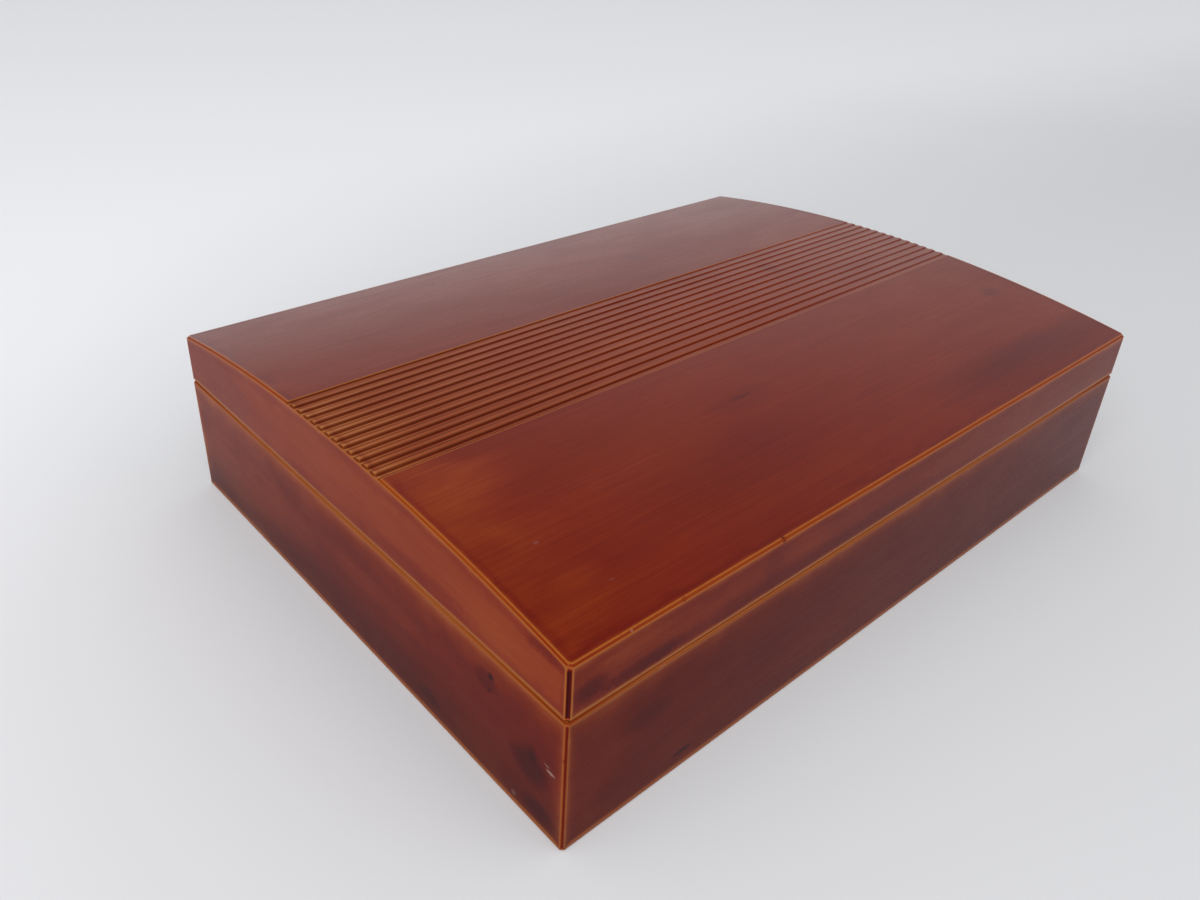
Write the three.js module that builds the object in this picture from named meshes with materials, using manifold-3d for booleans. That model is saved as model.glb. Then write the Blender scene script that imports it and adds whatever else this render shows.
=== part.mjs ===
// A lacquered wooden document box with a crowned, reeded lid that lifts off.
// Millimetres, +Z up. The origin is the middle of the underside, the reeds run along X,
// and -Y is the front. Every board is a piece of its own, mitred to its neighbours.

import * as THREE from 'three';
import { mergeVertices } from 'three/addons/utils/BufferGeometryUtils.js';
import Module from 'manifold-3d';

const wasm = await Module();
wasm.setup();

// Outer size
const boxLength = 340;
const boxWidth = 251;
const caseHeight = 54;
const seamGap = 0.3;
const lidSideHeight = 20.8;
const crownRise = 10.5;

// Boards
const wall = 7;
const bottomThickness = 6;
const bottomRebate = 3.5;
const glueGap = 0.3;

// Inner lip, the thin boards that line the case and stand up inside the lid
const lipThickness = 3.5;
const lipRise = 8;
const lipLeadIn = 0.8;
const lipCorner = 0.6;

// Reeded band along the middle of the lid
const grooveCount = 13;
const groovePitch = 5;
const grooveTopWidth = 3;
const grooveFloorWidth = 2.6;
const grooveDepth = 0.5;

// Chamfers on the outer arrises, each by the length of one leg
const lidCornerChamfer = 1.4;
const caseCornerChamfer = 1;
const lidTopChamfer = 0.8;
const seamChamfer = 0.8;

// Loose tongues hidden in the corner mitres
const splineWidth = 6;
const splineThickness = 1.8;
const splineInset = 4.7;
const caseSplineSetback = 6;
const lidSplineBottom = 3;
const lidSplineHeight = 9;

// Facets of the crown
const fieldSegments = 12;
const crownSegments = 24;

const halfLength = boxLength / 2;
const halfWidth = boxWidth / 2;
const innerEdge = halfWidth - wall;
const crownRadius = (halfWidth ** 2 + crownRise ** 2) / (2 * crownRise);
const crownCentre = lidSideHeight + crownRise - crownRadius;
const mitreDrop = glueGap * Math.SQRT2;
const overrun = 2;
const aboveCrown = lidSideHeight + crownRise + wall;

const lidLacquer = new THREE.MeshStandardMaterial({ color: 0x7c2f1c, roughness: 0.28, metalness: 0 });
const caseLacquer = new THREE.MeshStandardMaterial({ color: 0x662620, roughness: 0.3, metalness: 0 });
const innerLacquer = new THREE.MeshStandardMaterial({ color: 0x8a3d22, roughness: 0.38, metalness: 0 });
const bareWood = new THREE.MeshStandardMaterial({ color: 0xc9a26c, roughness: 0.8, metalness: 0 });

// Middle of each corner's tongue, and the turn that sets it square across the mitre
const corners = [];
for (const [end, signX] of [['left', -1], ['right', 1]]) {
  for (const [side, signY] of [['front', -1], ['back', 1]]) {
    corners.push({
      label: `${side}_${end}`,
      x: signX * (halfLength - splineInset),
      y: signY * (halfWidth - splineInset),
      turn: -signX * signY * Math.PI / 4,
    });
  }
}

// Height of the crown above the lid's lower edge
function crownHeight(y) {
  return crownCentre + Math.sqrt(crownRadius ** 2 - y ** 2);
}

// Angle of a point of the crown, seen from the crown's centre
function crownAngle(y) {
  return Math.acos(y / crownRadius);
}

// Solids for cutting and joining

function toSolid(geometry) {
  const bare = geometry.clone();
  bare.deleteAttribute('normal');
  bare.deleteAttribute('uv');
  const merged = mergeVertices(bare);
  const vertProperties = merged.attributes.position.array;
  const triVerts = new Uint32Array(merged.index.array);
  return new wasm.Manifold(new wasm.Mesh({ numProp: 3, vertProperties, triVerts }));
}

function toGeometry(solid) {
  const { vertProperties, triVerts } = solid.getMesh();
  const geometry = new THREE.BufferGeometry();
  geometry.setAttribute('position', new THREE.BufferAttribute(vertProperties, 3));
  geometry.setIndex(new THREE.BufferAttribute(triVerts, 1));
  const faceted = geometry.toNonIndexed();
  faceted.computeVertexNormals();
  return faceted;
}

function outline(points) {
  return new THREE.Shape(points.map(([a, b]) => new THREE.Vector2(a, b)));
}

// An upright prism from a plan in X and Y
function upright(points, bottom, top) {
  const geometry = new THREE.ExtrudeGeometry(outline(points), { depth: top - bottom, bevelEnabled: false });
  geometry.translate(0, 0, bottom);
  return toSolid(geometry);
}

// A bar along X from a section in Y and Z
function alongX(section, start, end, curveSegments = 1) {
  const geometry = new THREE.ExtrudeGeometry(section, { depth: end - start, bevelEnabled: false, curveSegments });
  geometry.rotateX(Math.PI / 2);
  geometry.rotateZ(Math.PI / 2);
  geometry.translate(start, 0, 0);
  return geometry;
}

// A block with chamfered upright corners and a chamfer round its top and bottom
function easedBlock(length, width, corner, edge, bottom, top) {
  const x = length / 2;
  const y = width / 2;
  const plan = outline([
    [-x + corner, -y],
    [x - corner, -y],
    [x, -y + corner],
    [x, y - corner],
    [x - corner, y],
    [-x + corner, y],
    [-x, y - corner],
    [-x, -y + corner],
  ]);
  const geometry = new THREE.ExtrudeGeometry(plan, {
    depth: top - bottom - 2 * edge,
    bevelThickness: edge,
    bevelSize: edge,
    bevelOffset: -edge,
    bevelSegments: 1,
  });
  geometry.translate(0, 0, bottom + edge);
  return toSolid(geometry);
}

// Plan of the front board of a mitred frame: its outer face at y = -reach, run long
function frontPlan(run, reach, thickness) {
  const half = run / 2 - glueGap / Math.SQRT2;
  return [
    [-half, -reach],
    [half, -reach],
    [half - thickness, -reach + thickness],
    [-half + thickness, -reach + thickness],
  ];
}

// Plan of the left board of the same frame
function leftPlan(run, reach, thickness) {
  return frontPlan(run, reach, thickness).map(([a, b]) => [b, a]);
}

// The slots that the loose tongues sit in, at the four corners of a mitred frame
function splineSlots(bottom, top) {
  const slots = [];
  for (const { x, y, turn } of corners) {
    const slot = new THREE.BoxGeometry(
      splineWidth + 2 * glueGap,
      splineThickness + 2 * glueGap,
      top - bottom + 2 * glueGap,
    );
    slot.rotateZ(turn);
    slot.translate(x, y, (bottom + top) / 2);
    slots.push(toSolid(slot));
  }
  return slots;
}

function cut(solid, tools) {
  return tools.reduce((rest, tool) => rest.subtract(tool), solid);
}

// Placing

function addMesh(group, name, geometry, material) {
  const mesh = new THREE.Mesh(geometry, material.clone());
  mesh.name = name;
  group.add(mesh);
  return mesh;
}

// Two boards of one shape that face each other across the box
function addPair(group, names, solid, material) {
  const geometry = toGeometry(solid);
  addMesh(group, names[0], geometry, material);
  addMesh(group, names[1], geometry, material).rotation.z = Math.PI;
}

function addSplines(group, prefix, bottom, top) {
  for (const { label, x, y, turn } of corners) {
    const slip = new THREE.BoxGeometry(splineWidth, splineThickness, top - bottom);
    const mesh = addMesh(group, `${prefix}_${label}`, slip, bareWood);
    mesh.rotation.z = turn;
    mesh.position.set(x, y, (bottom + top) / 2);
  }
}

// Case: four mitred sides round a bottom board, lined by the boards of the inner lip

function makeCase() {
  const group = new THREE.Group();
  const form = easedBlock(boxLength, boxWidth, caseCornerChamfer, seamChamfer, 0, caseHeight);

  const pocketX = halfLength - bottomRebate;
  const pocketY = halfWidth - bottomRebate;
  const pocketPlan = [[-pocketX, -pocketY], [pocketX, -pocketY], [pocketX, pocketY], [-pocketX, pocketY]];
  const pocket = upright(pocketPlan, -overrun, bottomThickness + glueGap);

  const splineBottom = bottomThickness + caseSplineSetback;
  const splineTop = caseHeight - caseSplineSetback;
  const tools = [pocket, ...splineSlots(splineBottom, splineTop)];

  const frontBlank = upright(frontPlan(boxLength, halfWidth, wall), 0, caseHeight);
  const leftBlank = upright(leftPlan(boxWidth, halfLength, wall), 0, caseHeight);
  const front = cut(frontBlank.intersect(form), tools);
  const left = cut(leftBlank.intersect(form), tools);
  addPair(group, ['case_front_side', 'case_back_side'], front, caseLacquer);
  addPair(group, ['case_left_end', 'case_right_end'], left, caseLacquer);
  addSplines(group, 'case_spline', splineBottom, splineTop);

  const bottom = new THREE.BoxGeometry(
    2 * (pocketX - glueGap),
    2 * (pocketY - glueGap),
    bottomThickness,
  );
  addMesh(group, 'case_bottom_board', bottom, innerLacquer).position.z = bottomThickness / 2;

  const lipBottom = bottomThickness + glueGap;
  const lipTop = caseHeight + lipRise;
  const lipInset = wall + glueGap;
  const lipLength = boxLength - 2 * lipInset;
  const lipWidth = boxWidth - 2 * lipInset;
  const lipForm = easedBlock(lipLength, lipWidth, lipCorner, lipLeadIn, lipBottom, lipTop);
  const lipFront = upright(frontPlan(lipLength, lipWidth / 2, lipThickness), lipBottom, lipTop);
  const lipLeft = upright(leftPlan(lipWidth, lipLength / 2, lipThickness), lipBottom, lipTop);
  addPair(group, ['inner_lip_front', 'inner_lip_back'], lipFront.intersect(lipForm), innerLacquer);
  addPair(group, ['inner_lip_left', 'inner_lip_right'], lipLeft.intersect(lipForm), innerLacquer);
  return group;
}

// Section of the top board: the crown with its grooves, and an underside one wall below it.
// Its two ends slope as the mitres to the front and back sides do.
function topSection() {
  const section = new THREE.Shape();
  const bandEdge = ((grooveCount - 1) * groovePitch + grooveTopWidth) / 2;
  section.moveTo(-halfWidth, crownHeight(halfWidth));
  section.absarc(0, crownCentre, crownRadius, crownAngle(-halfWidth), crownAngle(-bandEdge), true);
  for (let i = 0; i < grooveCount; i++) {
    const middle = (i - (grooveCount - 1) / 2) * groovePitch;
    const floor = crownHeight(middle) - grooveDepth;
    section.lineTo(middle - grooveTopWidth / 2, crownHeight(middle - grooveTopWidth / 2));
    section.lineTo(middle - grooveFloorWidth / 2, floor);
    section.lineTo(middle + grooveFloorWidth / 2, floor);
    section.lineTo(middle + grooveTopWidth / 2, crownHeight(middle + grooveTopWidth / 2));
  }
  section.absarc(0, crownCentre, crownRadius, crownAngle(bandEdge), crownAngle(halfWidth), true);
  section.lineTo(innerEdge, crownHeight(innerEdge) - wall);
  section.absarc(0, crownCentre - wall, crownRadius, crownAngle(innerEdge), crownAngle(-innerEdge), false);
  return section;
}

// Section of the space above or below the crown, as wide as the box and a little more
function crownSection(flatHeight) {
  const edge = halfWidth + overrun;
  const section = new THREE.Shape();
  section.moveTo(-edge, crownHeight(edge));
  section.absarc(0, crownCentre, crownRadius, crownAngle(-edge), crownAngle(edge), true);
  section.lineTo(edge, flatHeight);
  section.lineTo(-edge, flatHeight);
  return section;
}

// The space above or below a surface that follows the crown and slopes along X.
// It passes drop below the crown at each end face, and rises by slope for each step inwards.
function slopedCrown(flatHeight, slope, drop) {
  const reach = wall + overrun;
  const left = alongX(crownSection(flatHeight), -overrun, reach, crownSegments);
  left.applyMatrix4(new THREE.Matrix4().makeShear(0, slope, 0, 0, 0, 0));
  left.translate(-halfLength, 0, -drop);
  const right = left.clone();
  right.rotateZ(Math.PI);
  return [toSolid(left), toSolid(right)];
}

// The wedges that chamfer the crown's two long edges
function longEdgeWedges() {
  const low = new THREE.Vector2(-halfWidth, lidSideHeight - lidTopChamfer);
  const high = new THREE.Vector2(-halfWidth + lidTopChamfer, crownHeight(halfWidth - lidTopChamfer));
  const step = high.clone().sub(low).multiplyScalar(overrun);
  const start = low.clone().sub(step);
  const end = high.clone().add(step);
  const section = new THREE.Shape([start, end, new THREE.Vector2(start.x, end.y)]);
  const front = alongX(section, -halfLength - overrun, halfLength + overrun);
  const back = front.clone();
  back.rotateZ(Math.PI);
  return [toSolid(front), toSolid(back)];
}

// Lid: a crowned top board mitred to four sides, all one thickness

function makeLid() {
  const group = new THREE.Group();
  const form = easedBlock(boxLength, boxWidth, lidCornerChamfer, seamChamfer, 0, aboveCrown);
  const chamfers = [...slopedCrown(aboveCrown, 1, lidTopChamfer), ...longEdgeWedges()];
  const splineTop = lidSplineBottom + lidSplineHeight;
  const slots = splineSlots(lidSplineBottom, splineTop);

  const topBlank = toSolid(alongX(topSection(), -halfLength, halfLength, fieldSegments));
  const top = cut(topBlank.intersect(form), [...slopedCrown(-overrun, -1, 0), ...chamfers]);
  addMesh(group, 'lid_top_board', toGeometry(top), lidLacquer);

  const frontSection = outline([
    [-halfWidth, 0],
    [-innerEdge, 0],
    [-innerEdge, crownHeight(innerEdge) - wall - mitreDrop],
    [-halfWidth, lidSideHeight - mitreDrop],
  ]);
  const frontBlank = toSolid(alongX(frontSection, -halfLength, halfLength))
    .intersect(upright(frontPlan(boxLength, halfWidth, wall), 0, aboveCrown));
  const leftBlank = upright(leftPlan(boxWidth, halfLength, wall), 0, aboveCrown);
  const front = cut(frontBlank.intersect(form), [...slots, ...chamfers]);
  const underTop = slopedCrown(aboveCrown + wall + overrun, -1, mitreDrop);
  const left = cut(leftBlank.intersect(form), [...underTop, ...slots, ...chamfers]);
  addPair(group, ['lid_front_side', 'lid_back_side'], front, lidLacquer);
  addPair(group, ['lid_left_end', 'lid_right_end'], left, lidLacquer);
  addSplines(group, 'lid_spline', lidSplineBottom, splineTop);
  return group;
}

const box = new THREE.Group();
const lid = makeLid();
lid.position.z = caseHeight + seamGap;
box.add(makeCase(), lid);

export default box;
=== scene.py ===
import math

import bmesh
import bpy
import numpy as np
from mathutils import Matrix, Vector


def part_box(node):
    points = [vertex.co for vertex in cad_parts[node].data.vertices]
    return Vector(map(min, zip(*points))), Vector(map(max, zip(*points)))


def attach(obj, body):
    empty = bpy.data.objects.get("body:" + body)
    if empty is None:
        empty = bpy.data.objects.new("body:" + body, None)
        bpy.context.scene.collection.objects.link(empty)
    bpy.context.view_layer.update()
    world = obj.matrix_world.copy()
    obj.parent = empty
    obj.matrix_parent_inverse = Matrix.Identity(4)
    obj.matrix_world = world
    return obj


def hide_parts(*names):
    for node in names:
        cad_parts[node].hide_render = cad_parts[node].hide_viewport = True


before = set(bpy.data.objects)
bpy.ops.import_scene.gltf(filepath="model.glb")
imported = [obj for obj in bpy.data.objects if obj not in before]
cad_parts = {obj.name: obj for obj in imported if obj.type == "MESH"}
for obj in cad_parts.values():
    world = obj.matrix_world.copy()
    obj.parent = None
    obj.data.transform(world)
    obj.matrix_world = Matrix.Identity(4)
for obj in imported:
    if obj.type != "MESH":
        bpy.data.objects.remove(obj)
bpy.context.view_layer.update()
print("frame loaded")

millimetre = 0.001
root2 = math.sqrt(2)


# Sizes, in millimetres, from the frame

def nodeBox(node):
    low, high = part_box(node)
    return low / millimetre, high / millimetre


caseFrontLow, caseFrontHigh = nodeBox("case_front_side")
caseLeftLow, _ = nodeBox("case_left_end")
_, bottomHigh = nodeBox("case_bottom_board")
lipFrontLow, lipFrontHigh = nodeBox("inner_lip_front")
lidFrontLow, _ = nodeBox("lid_front_side")
lidTopLow, lidTopHigh = nodeBox("lid_top_board")

halfLength = -caseLeftLow.x
halfWidth = -caseFrontLow.y
wall = caseFrontHigh.y - caseFrontLow.y
caseTop = caseFrontHigh.z
lidBottom = lidFrontLow.z
apex = lidTopHigh.z
innerWidth = halfWidth - wall
crownDrop = apex - (lidTopLow.z + wall)  # from the apex down to the crown over the inner face
crownRadius = (innerWidth ** 2 + crownDrop ** 2) / (2 * crownDrop)
crownCentre = apex - crownRadius
lipInset = halfWidth + lipFrontLow.y
lipThickness = lipFrontHigh.y - lipFrontLow.y

# Chamfer legs on the arrises
arrisSize = {
    "lidCorner": 1.4,
    "caseCorner": 1.0,
    "lipCorner": 0.6,
    "lidTop": 0.8,
    "seam": 0.8,
    "inner": 0.3,
    "lipLeadIn": 0.8,
}
overrun = 5.0  # how far a blank runs past its mitres
crownSteps = 48


def crownHeight(y):
    return crownCentre + math.sqrt(crownRadius ** 2 - y ** 2)


def addObject(name, data):
    thing = bpy.data.objects.new(name, data)
    bpy.context.scene.collection.objects.link(thing)
    return thing


def meshFrom(bm, name):
    mesh = bpy.data.meshes.new(name)
    bm.to_mesh(mesh)
    bm.free()
    return mesh


def evaluated(thing):
    bpy.context.view_layer.update()
    made = bpy.data.meshes.new_from_object(thing.evaluated_get(bpy.context.evaluated_depsgraph_get()))
    bm = bmesh.new()
    bm.from_mesh(made)
    bpy.data.meshes.remove(made)
    return bm


# Camera, at the photograph's place

cameraLook = {
    "eye": (-0.29888, -0.2662, 0.26225),
    "heading": 42.402,  # degrees from +Y towards +X
    "tilt": 29.654,     # degrees below the horizon
    "roll": 2.486,
    "focal": 987.13,    # pixels, in a frame 1200 wide and 900 high
    "middle": (579.84, 408.29),
    "frame": (1200, 900),
    "sensor": 36.0,
    "clip": (0.01, 100),
}


def makeCamera():
    wide, high = cameraLook["frame"]
    lens = bpy.data.cameras.new("camera")
    lens.sensor_fit = "HORIZONTAL"
    lens.sensor_width = cameraLook["sensor"]
    lens.lens = cameraLook["focal"] * cameraLook["sensor"] / wide
    lens.shift_x = 0.5 - cameraLook["middle"][0] / wide
    lens.shift_y = (cameraLook["middle"][1] - high / 2) / wide
    lens.clip_start, lens.clip_end = cameraLook["clip"]
    camera = addObject("camera", lens)
    turn = Matrix.Rotation(-math.radians(cameraLook["heading"]), 4, "Z")
    nod = Matrix.Rotation(math.radians(90 - cameraLook["tilt"]), 4, "X")
    lean = Matrix.Rotation(math.radians(cameraLook["roll"]), 4, "Z")
    camera.matrix_world = Matrix.Translation(cameraLook["eye"]) @ turn @ nod @ lean
    bpy.context.scene.camera = camera


# Node helpers

def setOrLink(tree, socket, value):
    if isinstance(value, bpy.types.NodeSocket):
        tree.links.new(value, socket)
    elif value is not None:
        socket.default_value = value


def addNode(tree, kind, *values, **settings):
    node = tree.nodes.new(kind)
    for key, value in settings.items():
        setattr(node, key, value)
    for socket, value in zip(node.inputs, values):
        setOrLink(tree, socket, value)
    return node


def calc(tree, operation, a, b=None, c=None):
    return addNode(tree, "ShaderNodeMath", a, b, c, operation=operation).outputs[0]


def ramp(tree, value, low, high, start=0.0, end=1.0):
    values = (value, low, high, start, end)
    return addNode(tree, "ShaderNodeMapRange", *values, interpolation_type="SMOOTHSTEP").outputs[0]


def blendColour(tree, factor, a, b, mode="MIX"):
    node = tree.nodes.new("ShaderNodeMix")
    node.data_type = "RGBA"
    node.blend_type = mode
    node.clamp_factor = True
    for name, value in (("Factor_Float", factor), ("A_Color", a), ("B_Color", b)):
        socket = next(s for s in node.inputs if s.identifier == name)
        setOrLink(tree, socket, value)
    return next(s for s in node.outputs if s.identifier == "Result_Color")


def blendNumber(tree, factor, a, b):
    node = tree.nodes.new("ShaderNodeMix")
    for name, value in (("Factor_Float", factor), ("A_Float", a), ("B_Float", b)):
        socket = next(s for s in node.inputs if s.identifier == name)
        setOrLink(tree, socket, value)
    return node.outputs[0]


def noise(tree, place, stretch, detail=2.0, roughness=0.5, seed=0.0):
    spot = addNode(tree, "ShaderNodeMapping", place)
    spot.inputs["Scale"].default_value = stretch
    spot.inputs["Location"].default_value = (seed, seed * 0.7, seed * 1.3)
    node = tree.nodes.new("ShaderNodeTexNoise")
    tree.links.new(spot.outputs[0], node.inputs["Vector"])
    node.inputs["Scale"].default_value = 1.0
    node.inputs["Detail"].default_value = detail
    node.inputs["Roughness"].default_value = roughness
    return node.outputs[0]


def fromHex(code):
    parts = [int(code[i:i + 2], 16) / 255 for i in (1, 3, 5)]
    linear = [p / 12.92 if p <= 0.04045 else ((p + 0.055) / 1.055) ** 2.4 for p in parts]  # from sRGB
    return (*linear, 1.0)


def addBump(tree, shader, height, strength, distance):
    bump = tree.nodes.new("ShaderNodeBump")
    bump.inputs["Strength"].default_value = strength
    bump.inputs["Distance"].default_value = distance
    tree.links.new(height, bump.inputs["Height"])
    tree.links.new(bump.outputs[0], shader.inputs["Normal"])


def newMaterial(name):
    material = bpy.data.materials.new(name)
    material.use_nodes = True
    tree = material.node_tree
    tree.nodes.clear()
    shader = tree.nodes.new("ShaderNodeBsdfPrincipled")
    out = tree.nodes.new("ShaderNodeOutputMaterial")
    tree.links.new(shader.outputs[0], out.inputs[0])
    return material, tree, shader


# Lacquer: a clear red-brown film over pale wood, darker the thicker it lies. Film 1 is a usual
# coat. It is worn thin and golden on every arris, thins out beside some, and lies thick in the
# lid's corner chamfers, where the thick film paints the shade seen there. The wood's colour is
# scaled by a painted shade for each face, its chamfers and its grooves' corners, and grows darker towards the
# bottom.

film = {"wood": (0.60, 0.42, 0.20), "absorb": (1.23, 3.44, 5.3)}  # linear red, green, blue

lidTopLook = {
    "film": 1.03,
    "clouds": 0.30, "blotches": 0.18, "streaks": 0.34, "pores": 0.24,  # how far each varies the film
    "halo": 0.25, "haloReach": 0.7,  # film missing beside an arris, and how far in that goes, in mm
    "pool": 0.18, "poolFrom": 1.0, "poolTo": 4.5,  # film gathered next to it
    "gold": "#97531a", "paintedChamferShade": 0.85,  # the worn arris, and the painted shade on the chamfer
    "land": -0.44, "landFar": -0.08,  # film on the reeded band, at its left and in its right part
    "pitFilm": 0.36, "paintedPitShade": 0.57,  # thicker film and painted shade in the corners of its grooves, at the left
    "paintedSheen": 0.10,  # painted sheen, a pale painted reflection in the band's right part
    # the light level the board shows as painted shade, the level it falls to at its foot, and how high that
    # darkening reaches, in mm
    "paintedShade": 0.88, "footTone": 0.88, "footHeight": 10,
    "roughness": 0.27, "landRoughness": 0.20,
    "ior": 1.27,
}
lidEndLook = dict(
    lidTopLook, film=0.82, clouds=0.30, streaks=0.20, halo=0.30, haloReach=1.2,
    pool=0.20, poolFrom=1.3, poolTo=7.0, gold="#8d501f", ior=1.15,
)
# The sides have a darker painted shade than the ends, as they face away from the light.
lidSideLook = dict(
    lidEndLook, film=0.99, halo=0.58, haloReach=1.8, paintedShade=0.70, footTone=0.70, gold="#8c5022",
    paintedChamferShade=1.25, ior=1.18,
)
# The case's boards grow darker towards the bottom; its sides carry a darker painted shade than its ends.
caseEndLook = dict(
    lidEndLook, film=1.27, clouds=0.45, blotches=0.30, halo=0.78, haloReach=6.5, pool=0.0,
    gold="#8a4a1f", paintedChamferShade=0.72, ior=1.135, paintedShade=0.74, footTone=0.44, footHeight=30,
)
caseSideLook = dict(
    caseEndLook, film=1.19, halo=0.78, haloReach=3.2, gold="#80431f", paintedChamferShade=0.85,
    paintedShade=0.575, footTone=0.46, footHeight=14, ior=1.165,
)
innerLook = dict(
    lidTopLook, film=0.80, clouds=0.40, streaks=0.40, haloReach=2.0, pool=0.12,
    paintedShade=1.0, footTone=1.0, roughness=0.36,
)

# Noises along a board's grain, in waves per mm along, across and through it
grainNoises = {
    "clouds": {"stretch": (0.008, 0.02, 0.02), "detail": 3, "seed": 3},
    "blotches": {"stretch": (0.03, 0.08, 0.08), "detail": 3, "seed": 11},
    "streaks": {"stretch": (0.012, 1.1, 1.1), "detail": 4, "roughness": 0.6, "seed": 23},
    "pores": {"stretch": (0.06, 3.0, 3.0), "detail": 2, "seed": 41},
    "wander": {"stretch": (0.09, 0.09, 0.09), "detail": 3, "seed": 57},
    "wear": {"stretch": (0.6, 0.6, 0.6), "detail": 3, "seed": 71},
}

# Ramps: from, to and, where not 0 and 1, the values there. Chamfers and lines go by the distance from
# the nearest arris in mm, which is less than 0 on a chamfer.
ramps = {
    "chamfer": (-0.45, -0.27, 1, 0),
    "lineOnFlat": (0.16, 0.58, 1, 0),
    "lineOnChamfer": (-0.32, -0.06),
    "lineWear": (0.25, 0.5, 0.7, 1.0),
    "fadeWander": (0.3, 0.7, 0.75, 1.35),
    "poolWander": (0.35, 0.6, 0.5, 1.0),
    "mark": (0.25, 1.0, 1, 0),
    "pit": (0, 0.16),
    "roughBlotches": (0.3, 0.7, -0.015, 0.02),
    "roughStreaks": (0.3, 0.7, -0.01, 0.02),
}
poolEdge = (0.4, 1.6)    # the pool rises between these shares of poolFrom
pitFrom = (0.24, 0.55)   # pit value from which it is dark, at the band's left and in its right part
bandRight = 0.7          # where that right part begins, as a share of half the length
paintedSheenFrom = 0.1
scuffRagged = 0.5
smallMark = 6            # a mark that reaches less than this has a finer outline
relief = {"streaks": 0.35, "pores": 0.15, "wander": 2.0, "strength": 0.35, "height": 0.00006}

# Marks: middle, reach along x, y and z, the film that each adds, and how ragged its outline is
topMarks = [
    ((-172, -45, 80), (40, 105, 40), -0.20, 1.0),
    ((85, -104, 80), (70, 11, 40), 0.15, 1.0),
    ((115, -113, 80), (95, 17, 40), 0.27, 0.8),
    ((-60, -93, 80), (60, 24, 40), 0.10, 1.0),
    ((-147, -50, 80), (24, 22, 40), -0.17, 0.8),
    ((-146, -101, 80), (13, 8, 40), -0.13, 0.8),
    ((-163, -80, 80), (11, 9, 40), 0.13, 0.8),
    ((-50, -118, 80), (110, 10, 40), 0.10, 1.0),
    ((-10, -80, 80), (80, 40, 40), 0.08, 1.4),
    ((-32, -64, 80), (8, 1.8, 40), 0.26, 0.8),
    ((-34, -65, 80), (24, 7, 40), 0.10, 1.2),
    ((77, 12, 80), (6, 9, 40), 0.20, 0.6),
    ((147, -69, 80), (8, 6, 40), 0.22, 0.8),
    ((37, 66, 80), (7, 10, 40), 0.16, 0.8),
    ((-126, -125.3, 75), (1.3, 1.2, 2), 0.6, 0.3),
    ((-80.5, -125.2, 75), (1.5, 1.6, 2), 0.85, 0.4),
]
endMarks = [
    ((-170, -115, 73.5), (20, 14, 3.6), 0.26, 0.8),
    ((-170, -48, 60.5), (20, 46, 4.5), 0.20, 0.8),
    ((-170, 90, 66), (20, 60, 14), 0.20, 0.8),
]
sideMarks = [
    ((-162, -125, 62.5), (9, 20, 5.5), 0.60, 0.5),
    ((-140, -125, 59.5), (24, 20, 4), 0.45, 0.7),
    ((-60, -125, 59.5), (110, 20, 5), 0.28, 0.7),
    ((-146, -125, 69), (20, 20, 5), -0.18, 0.6),
    ((-84, -125, 66), (7, 20, 13), 0.14, 0.5),
    ((-62, -125, 67), (14, 20, 8), -0.08, 0.5),
    ((-80.5, -125.4, 74.8), (1.5, 1.6, 1.6), 0.85, 0.4),
]
caseEndMarks = [
    ((-170, -110, 26), (20, 11, 11), 0.60, 1.3),
    ((-170, -111, 30), (20, 2.6, 4.5), 0.36, 0.8),
    ((-170, -88, 42), (20, 7, 6), 0.34, 1.0),
    ((-170, -90.7, 45.3), (20, 1.8, 1.8), 1.1, 0.5),
    ((-170, -90, 39), (20, 1.2, 1.2), 0.6, 0.5),
    ((-170, -114, 8), (20, 10, 6), 0.45, 0.9),
    ((-170, -55, 9), (20, 8, 5), 0.30, 0.9),
    ((-170, -85, 9), (20, 22, 9), -0.20, 0.9),
    ((-170, 85, 24), (20, 75, 29), -0.30, 0.6),
    ((-170, -15, 34), (20, 120, 6), -0.13, 0.9),
    ((-170, -125.3, 39), (2, 2, 1.2), 0.5, 0.2),
]
caseSideMarks = [
    ((-158, -125, 30), (20, 20, 34), -0.12, 0.8),
    ((-137, -125, 36), (14, 20, 7), 0.22, 1.0),
    ((-152, -125, 14), (9, 20, 8), 0.14, 1.0),
    ((-118.5, -125, 7.6), (6, 20, 1.5), 0.75, 0.6),
]

# Scuffs, where the film is broken and looks pale: middle, reach, and how pale
# The scuffs' pale colour, which also paints the painted sheen on the reeded band
scuffAndSheenColour = "#b59f98"
topScuffs = [
    ((-148, -84, 80), (1.6, 0.9, 40), 0.08),
    ((-147, -125.2, 75), (0.8, 0.5, 0.7), 0.25),
    ((-139, -108, 80), (1.6, 0.9, 40), 0.03),
]
caseEndScuffs = [
    ((-170, -119.3, 29.3), (20, 2.6, 0.9), 0.38),
    ((-170, -117.6, 31), (20, 2.0, 0.5), 0.20),
    ((-170, -102, 5), (20, 1.6, 1.6), 0.10),
]
caseSideScuffs = [((-133, -125, 53), (1.8, 20, 0.7), 0.06)]


def swing(tree, value, amount):
    return calc(tree, "MULTIPLY_ADD", value, amount, -amount / 2)


def total(tree, *values):
    result = values[0]
    for value in values[1:]:
        result = calc(tree, "ADD", result, value)
    return result


def spread(tree, place, fringe, middle, reach):
    scale = [1 / (r * millimetre) for r in reach]
    spot = addNode(tree, "ShaderNodeMapping", place)
    spot.inputs["Scale"].default_value = scale
    spot.inputs["Location"].default_value = [-m * millimetre * s for m, s in zip(middle, scale)]
    away = addNode(tree, "ShaderNodeVectorMath", spot.outputs[0], operation="LENGTH").outputs["Value"]
    return ramp(tree, calc(tree, "ADD", away, fringe), *ramps["mark"])


def attribute(tree, name, output="Fac"):
    return addNode(tree, "ShaderNodeAttribute", attribute_name=name).outputs[output]


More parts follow.
